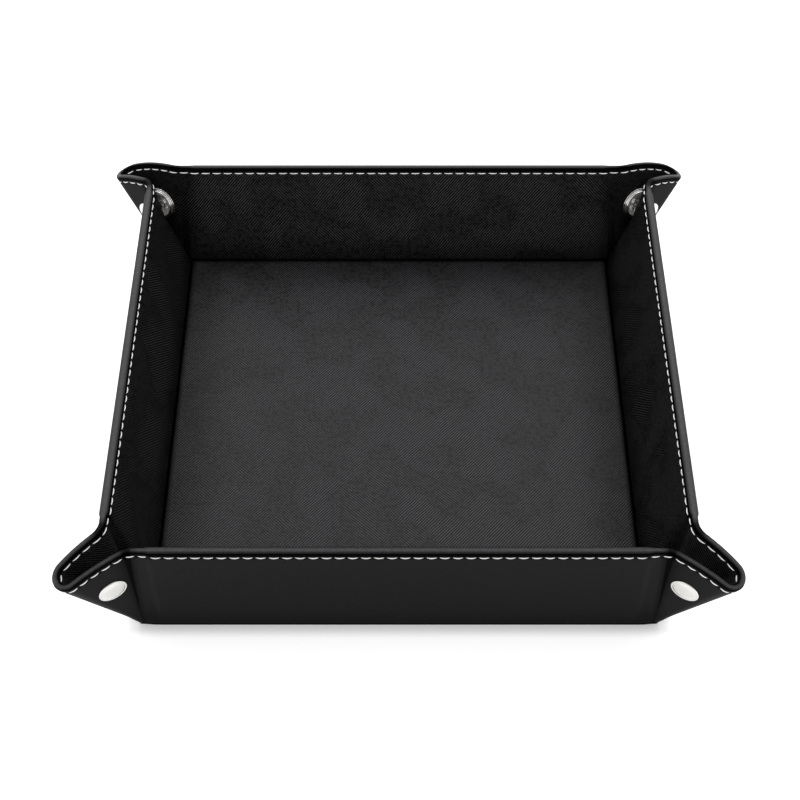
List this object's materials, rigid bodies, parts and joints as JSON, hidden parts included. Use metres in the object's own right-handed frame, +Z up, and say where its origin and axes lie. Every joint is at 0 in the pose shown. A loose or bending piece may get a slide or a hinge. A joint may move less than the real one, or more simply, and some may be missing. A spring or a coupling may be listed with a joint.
{
  "type": "valet tray",
  "caption": "Square leather valet tray with a padded flat floor, outward-leaning boarded walls and pinched snap corners that fold flat when the snaps are opened.",
  "frame": {"origin": "centre of the square base, on its underside", "axes": "+Z up out of the tray, +X along the front wall, front wall towards -Y"},
  "size_m": [0.225, 0.215, 0.0497],
  "materials": {
    "outer_leather": "fine-grained black leather, satin",
    "lining_leather": "cross-hatched black leather, satin",
    "stiffening_board": "grey-brown pressed board, hidden between the leathers",
    "felt_padding": "grey felt padding, hidden under the lining",
    "nickel_snap": "bright nickel plating"
  },
  "bodies": {
    "base": {"base_cover": "outer_leather", "base_board": "stiffening_board", "base_pad": "felt_padding", "base_lining": "lining_leather"},
    "front_wall": {"front_wall_cover": "outer_leather", "front_wall_board": "stiffening_board", "front_wall_pad": "felt_padding", "front_wall_lining": "lining_leather"},
    "right_wall": {"right_wall_cover": "outer_leather", "right_wall_board": "stiffening_board", "right_wall_pad": "felt_padding", "right_wall_lining": "lining_leather"},
    "back_wall": {"back_wall_cover": "outer_leather", "back_wall_board": "stiffening_board", "back_wall_pad": "felt_padding", "back_wall_lining": "lining_leather"},
    "left_wall": {"left_wall_cover": "outer_leather", "left_wall_board": "stiffening_board", "left_wall_pad": "felt_padding", "left_wall_lining": "lining_leather"},
    "front_left_end_ear": {"front_left_end_ear_cover": "outer_leather", "front_left_end_ear_lining": "lining_leather", "front_left_snap_end_cap": "nickel_snap", "front_left_snap_socket": "nickel_snap"},
    "front_left_end_roll": {"front_left_end_roll": "outer_leather"},
    "front_left_side_ear": {"front_left_side_ear_cover": "outer_leather", "front_left_side_ear_lining": "lining_leather", "front_left_snap_side_cap": "nickel_snap", "front_left_snap_stud": "nickel_snap"},
    "front_left_side_roll": {"front_left_side_roll": "outer_leather"},
    "front_right_end_ear": {"front_right_end_ear_cover": "outer_leather", "front_right_end_ear_lining": "lining_leather", "front_right_snap_end_cap": "nickel_snap", "front_right_snap_socket": "nickel_snap"},
    "front_right_end_roll": {"front_right_end_roll": "outer_leather"},
    "front_right_side_ear": {"front_right_side_ear_cover": "outer_leather", "front_right_side_ear_lining": "lining_leather", "front_right_snap_side_cap": "nickel_snap", "front_right_snap_stud": "nickel_snap"},
    "front_right_side_roll": {"front_right_side_roll": "outer_leather"},
    "back_left_end_ear": {"back_left_end_ear_cover": "outer_leather", "back_left_end_ear_lining": "lining_leather", "back_left_snap_end_cap": "nickel_snap", "back_left_snap_socket": "nickel_snap"},
    "back_left_end_roll": {"back_left_end_roll": "outer_leather"},
    "back_left_side_ear": {"back_left_side_ear_cover": "outer_leather", "back_left_side_ear_lining": "lining_leather", "back_left_snap_side_cap": "nickel_snap", "back_left_snap_stud": "nickel_snap"},
    "back_left_side_roll": {"back_left_side_roll": "outer_leather"},
    "back_right_end_ear": {"back_right_end_ear_cover": "outer_leather", "back_right_end_ear_lining": "lining_leather", "back_right_snap_end_cap": "nickel_snap", "back_right_snap_socket": "nickel_snap"},
    "back_right_end_roll": {"back_right_end_roll": "outer_leather"},
    "back_right_side_ear": {"back_right_side_ear_cover": "outer_leather", "back_right_side_ear_lining": "lining_leather", "back_right_snap_side_cap": "nickel_snap", "back_right_snap_stud": "nickel_snap"},
    "back_right_side_roll": {"back_right_side_roll": "outer_leather"}
  },
  "joints": [
    {"name": "front_wall_fold", "type": "hinge", "parent": "base", "child": "front_wall", "pos_m": [0, -0.08825, 0.00175], "axis": [1, 0, 0], "range_deg": [0, 78.4]},
    {"name": "right_wall_fold", "type": "hinge", "parent": "base", "child": "right_wall", "pos_m": [0.08825, 0, 0.00175], "axis": [0, 1, 0], "range_deg": [0, 78.4]},
    {"name": "back_wall_fold", "type": "hinge", "parent": "base", "child": "back_wall", "pos_m": [0, 0.08825, 0.00175], "axis": [-1, 0, 0], "range_deg": [0, 78.4]},
    {"name": "left_wall_fold", "type": "hinge", "parent": "base", "child": "left_wall", "pos_m": [-0.08825, 0, 0.00175], "axis": [0, -1, 0], "range_deg": [0, 78.4]},
    {"name": "front_left_end_ear_crease", "type": "hinge", "parent": "front_wall", "child": "front_left_end_ear", "pos_m": [-0.08825, -0.08825, 0.00175], "axis": [0.11, -0.2287, -0.9673], "range_deg": [0, 33.56]},
    {"name": "front_left_end_roll_bend", "type": "hinge", "parent": "front_left_end_ear", "child": "front_left_end_roll", "pos_m": [-0.08825, -0.08825, 0.00175], "axis": [-0.3516, -0.3713, 0.8594], "range_deg": [0, 40.53]},
    {"name": "front_left_side_ear_crease", "type": "hinge", "parent": "left_wall", "child": "front_left_side_ear", "pos_m": [-0.08825, -0.08825, 0.00175], "axis": [0.0927, -0.1369, 0.9862], "range_deg": [0, 55.9]},
    {"name": "front_left_side_roll_bend", "type": "hinge", "parent": "front_left_side_ear", "child": "front_left_side_roll", "pos_m": [-0.08825, -0.08825, 0.00175], "axis": [0.4557, 0.2141, -0.864], "range_deg": [0, 43.39]},
    {"name": "front_right_end_ear_crease", "type": "hinge", "parent": "front_wall", "child": "front_right_end_ear", "pos_m": [0.08825, -0.08825, 0.00175], "axis": [0.11, 0.2287, 0.9673], "range_deg": [0, 33.56]},
    {"name": "front_right_end_roll_bend", "type": "hinge", "parent": "front_right_end_ear", "child": "front_right_end_roll", "pos_m": [0.08825, -0.08825, 0.00175], "axis": [-0.3516, 0.3713, -0.8594], "range_deg": [0, 40.53]},
    {"name": "front_right_side_ear_crease", "type": "hinge", "parent": "right_wall", "child": "front_right_side_ear", "pos_m": [0.08825, -0.08825, 0.00175], "axis": [0.0927, 0.1369, -0.9862], "range_deg": [0, 55.9]},
    {"name": "front_right_side_roll_bend", "type": "hinge", "parent": "front_right_side_ear", "child": "front_right_side_roll", "pos_m": [0.08825, -0.08825, 0.00175], "axis": [0.4557, -0.2141, 0.864], "range_deg": [0, 43.39]},
    {"name": "back_left_end_ear_crease", "type": "hinge", "parent": "back_wall", "child": "back_left_end_ear", "pos_m": [-0.08825, 0.08825, 0.00175], "axis": [-0.11, -0.2287, 0.9673], "range_deg": [0, 33.56]},
    {"name": "back_left_end_roll_bend", "type": "hinge", "parent": "back_left_end_ear", "child": "back_left_end_roll", "pos_m": [-0.08825, 0.08825, 0.00175], "axis": [0.3516, -0.3713, -0.8594], "range_deg": [0, 40.53]},
    {"name": "back_left_side_ear_crease", "type": "hinge", "parent": "left_wall", "child": "back_left_side_ear", "pos_m": [-0.08825, 0.08825, 0.00175], "axis": [-0.0927, -0.1369, -0.9862], "range_deg": [0, 55.9]},
    {"name": "back_left_side_roll_bend", "type": "hinge", "parent": "back_left_side_ear", "child": "back_left_side_roll", "pos_m": [-0.08825, 0.08825, 0.00175], "axis": [-0.4557, 0.2141, 0.864], "range_deg": [0, 43.39]},
    {"name": "back_right_end_ear_crease", "type": "hinge", "parent": "back_wall", "child": "back_right_end_ear", "pos_m": [0.08825, 0.08825, 0.00175], "axis": [-0.11, 0.2287, -0.9673], "range_deg": [0, 33.56]},
    {"name": "back_right_end_roll_bend", "type": "hinge", "parent": "back_right_end_ear", "child": "back_right_end_roll", "pos_m": [0.08825, 0.08825, 0.00175], "axis": [0.3516, 0.3713, 0.8594], "range_deg": [0, 40.53]},
    {"name": "back_right_side_ear_crease", "type": "hinge", "parent": "right_wall", "child": "back_right_side_ear", "pos_m": [0.08825, 0.08825, 0.00175], "axis": [-0.0927, 0.1369, 0.9862], "range_deg": [0, 55.9]},
    {"name": "back_right_side_roll_bend", "type": "hinge", "parent": "back_right_side_ear", "child": "back_right_side_roll", "pos_m": [0.08825, 0.08825, 0.00175], "axis": [-0.4557, -0.2141, -0.864], "range_deg": [0, 43.39]}
  ],
  "couplings": [
    {"joint": "right_wall_fold", "follows": "front_wall_fold", "ratio": 1},
    {"joint": "back_wall_fold", "follows": "front_wall_fold", "ratio": 1},
    {"joint": "left_wall_fold", "follows": "front_wall_fold", "ratio": 1},
    {"joint": "front_left_end_ear_crease", "follows": "front_wall_fold", "ratio": 0.428},
    {"joint": "front_left_end_roll_bend", "follows": "front_wall_fold", "ratio": 0.5168},
    {"joint": "front_left_side_ear_crease", "follows": "front_wall_fold", "ratio": 0.71286},
    {"joint": "front_left_side_roll_bend", "follows": "front_wall_fold", "ratio": 0.55327},
    {"joint": "front_right_end_ear_crease", "follows": "front_wall_fold", "ratio": 0.428},
    {"joint": "front_right_end_roll_bend", "follows": "front_wall_fold", "ratio": 0.5168},
    {"joint": "front_right_side_ear_crease", "follows": "front_wall_fold", "ratio": 0.71286},
    {"joint": "front_right_side_roll_bend", "follows": "front_wall_fold", "ratio": 0.55327},
    {"joint": "back_left_end_ear_crease", "follows": "front_wall_fold", "ratio": 0.428},
    {"joint": "back_left_end_roll_bend", "follows": "front_wall_fold", "ratio": 0.5168},
    {"joint": "back_left_side_ear_crease", "follows": "front_wall_fold", "ratio": 0.71286},
    {"joint": "back_left_side_roll_bend", "follows": "front_wall_fold", "ratio": 0.55327},
    {"joint": "back_right_end_ear_crease", "follows": "front_wall_fold", "ratio": 0.428},
    {"joint": "back_right_end_roll_bend", "follows": "front_wall_fold", "ratio": 0.5168},
    {"joint": "back_right_side_ear_crease", "follows": "front_wall_fold", "ratio": 0.71286},
    {"joint": "back_right_side_roll_bend", "follows": "front_wall_fold", "ratio": 0.55327}
  ]
}
